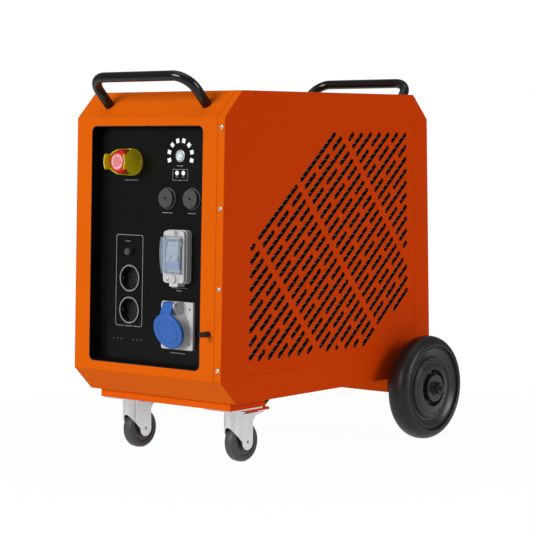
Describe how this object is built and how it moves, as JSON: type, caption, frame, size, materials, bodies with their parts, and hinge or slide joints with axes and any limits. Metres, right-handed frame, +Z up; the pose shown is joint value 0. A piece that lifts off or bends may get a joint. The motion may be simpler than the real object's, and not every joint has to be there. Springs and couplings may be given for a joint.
{
  "type": "portable power station",
  "caption": "Trolley-mounted battery power station: folded cabinet with recessed control panel, slotted side covers, tube handles, swivel casters and rear wheels.",
  "frame": {"origin": "on the floor under the middle of the whole machine", "axes": "+Z up, control panel facing -Y, slotted right side cover facing +X"},
  "size_m": [0.596, 0.7428, 0.7635],
  "materials": {
    "orange_paint": "satin powder coat",
    "bracket_paint": "satin powder coat",
    "zinc": "bright zinc plate",
    "dark_steel": "phosphated",
    "handle_black": "gloss black powder coat",
    "screen_black": "matt black",
    "tray_black": "matt black",
    "panel_black": "satin film",
    "print_white": "screen print",
    "lamp_white": "diffusing lens",
    "bezel_metal": "satin",
    "guard_yellow": "moulded",
    "estop_red": "moulded",
    "stem_grey": "moulded",
    "device_grey": "moulded",
    "socket_black": "moulded",
    "contact_brass": "plated",
    "enclosure_grey": "moulded",
    "window_clear": "clear moulding",
    "breaker_white": "moulded",
    "outlet_blue": "moulded",
    "caster_grey": "moulded",
    "tyre_black": "rubber",
    "hub_grey": "moulded",
    "battery_case": "moulded",
    "inverter_case": null
  },
  "bodies": {
    "cabinet": {"front_shell": "orange_paint", "rear_shell": "orange_paint", "top_cover": "orange_paint", "base_pan": "orange_paint", "right_side_cover": "orange_paint", "left_side_cover": "orange_paint", "right_louvre_screen": "screen_black", "left_louvre_screen": "screen_black", "side_cover_screws": "zinc", "inner_frame": "dark_steel", "battery_pack": "battery_case", "inverter_module": "inverter_case", "fan_housing": "socket_black", "panel_tray": "tray_black", "control_panel": "panel_black", "panel_markings": "print_white", "front_handle": "handle_black", "rear_handle": "handle_black", "handle_bolts": "dark_steel", "estop_guard": "guard_yellow", "power_button_bezel": "bezel_metal", "indicator_lights": "lamp_white", "socket_earth_clips": "contact_brass", "breaker_box": "enclosure_grey", "breaker_module": "breaker_white", "cee_flange": "enclosure_grey", "cee_contact_carrier": "outlet_blue", "cee_lid_pin": "dark_steel", "flange_screws": "zinc", "earth_terminal": "socket_black", "caster_channel": "bracket_paint", "channel_braces": "dark_steel", "right_caster_plate": "zinc", "left_caster_plate": "zinc", "rear_axle_bracket": "bracket_paint", "rear_axle": "dark_steel", "axle_nuts": "dark_steel", "left_input_connector": "device_grey", "right_input_connector": "device_grey", "upper_mains_socket": "socket_black", "lower_mains_socket": "socket_black"},
    "left_caster_swivel": {"left_caster_fork": "zinc", "left_caster_axle": "zinc"},
    "left_caster_roller": {"left_caster_wheel": "caster_grey"},
    "right_caster_swivel": {"right_caster_fork": "zinc", "right_caster_axle": "zinc"},
    "right_caster_roller": {"right_caster_wheel": "caster_grey"},
    "left_rear_wheel": {"left_tyre": "tyre_black", "left_hub": "hub_grey"},
    "right_rear_wheel": {"right_tyre": "tyre_black", "right_hub": "hub_grey"},
    "cooling_fan": {"fan_rotor": "socket_black"},
    "estop_plunger": {"estop_stem": "stem_grey"},
    "estop_head": {"estop_button": "estop_red"},
    "power_key": {"power_button": "lamp_white"},
    "outlet_key": {"outlet_button": "device_grey"},
    "window": {"breaker_window": "window_clear"},
    "toggle": {"breaker_toggle": "breaker_white"},
    "latch": {"breaker_latch_knob": "enclosure_grey"},
    "outlet_lid": {"cee_lid": "outlet_blue"}
  },
  "joints": [
    {"name": "left_caster_turn", "type": "hinge", "parent": "cabinet", "child": "left_caster_swivel", "pos_m": [-0.137, -0.2418, 0.1], "axis": [0, 0, 1], "continuous": true},
    {"name": "left_caster_roll", "type": "hinge", "parent": "left_caster_swivel", "child": "left_caster_roller", "pos_m": [-0.137, -0.2164, 0.04], "axis": [1, 0, 0], "continuous": true},
    {"name": "left_wheel_roll", "type": "hinge", "parent": "cabinet", "child": "left_rear_wheel", "pos_m": [-0.251, 0.25, 0.109], "axis": [1, 0, 0], "continuous": true},
    {"name": "right_caster_turn", "type": "hinge", "parent": "cabinet", "child": "right_caster_swivel", "pos_m": [0.137, -0.2418, 0.1], "axis": [0, 0, 1], "continuous": true},
    {"name": "right_caster_roll", "type": "hinge", "parent": "right_caster_swivel", "child": "right_caster_roller", "pos_m": [0.137, -0.2164, 0.04], "axis": [1, 0, 0], "continuous": true},
    {"name": "right_wheel_roll", "type": "hinge", "parent": "cabinet", "child": "right_rear_wheel", "pos_m": [0.251, 0.25, 0.109], "axis": [1, 0, 0], "continuous": true},
    {"name": "fan_spin", "type": "hinge", "parent": "cabinet", "child": "cooling_fan", "pos_m": [-0.16, 0, 0.49], "axis": [1, 0, 0], "continuous": true},
    {"name": "estop_press", "type": "slide", "parent": "cabinet", "child": "estop_plunger", "axis": [0, 0.9996, -0.0289], "range_m": [0, 0.004], "stiffness_N_per_m": 900, "springref_m": -0.002},
    {"name": "estop_twist", "type": "hinge", "parent": "estop_plunger", "child": "estop_head", "pos_m": [-0.0635, -0.3475, 0.58863], "axis": [0, 0.9996, -0.0289], "range_deg": [0, 40], "stiffness_Nm_per_rad": 0.02, "springref_deg": -17.19},
    {"name": "power_press", "type": "slide", "parent": "cabinet", "child": "power_key", "axis": [0, 0.9996, -0.0289], "range_m": [0, 0.0018], "stiffness_N_per_m": 800, "springref_m": -0.001},
    {"name": "outlet_press", "type": "slide", "parent": "cabinet", "child": "outlet_key", "axis": [0, 0.9996, -0.0289], "range_m": [0, 0.004], "stiffness_N_per_m": 600, "springref_m": -0.002},
    {"name": "window_open", "type": "hinge", "parent": "cabinet", "child": "window", "pos_m": [0.0674, -0.33882, 0.43892], "axis": [-1, 0, 0], "range_deg": [0, 90]},
    {"name": "toggle_throw", "type": "hinge", "parent": "cabinet", "child": "toggle", "pos_m": [0.0674, -0.3354, 0.4013], "axis": [1, 0, 0], "range_deg": [0, 50]},
    {"name": "latch_turn", "type": "hinge", "parent": "cabinet", "child": "latch", "pos_m": [0.0692, -0.33901, 0.36309], "axis": [0, -0.9996, 0.0289], "range_deg": [0, 90]},
    {"name": "lid_open", "type": "hinge", "parent": "cabinet", "child": "outlet_lid", "pos_m": [0.066, -0.34541, 0.31465], "axis": [-1, 0, 0], "range_deg": [0, 100], "stiffness_Nm_per_rad": 0.05, "springref_deg": -45.84}
  ]
}
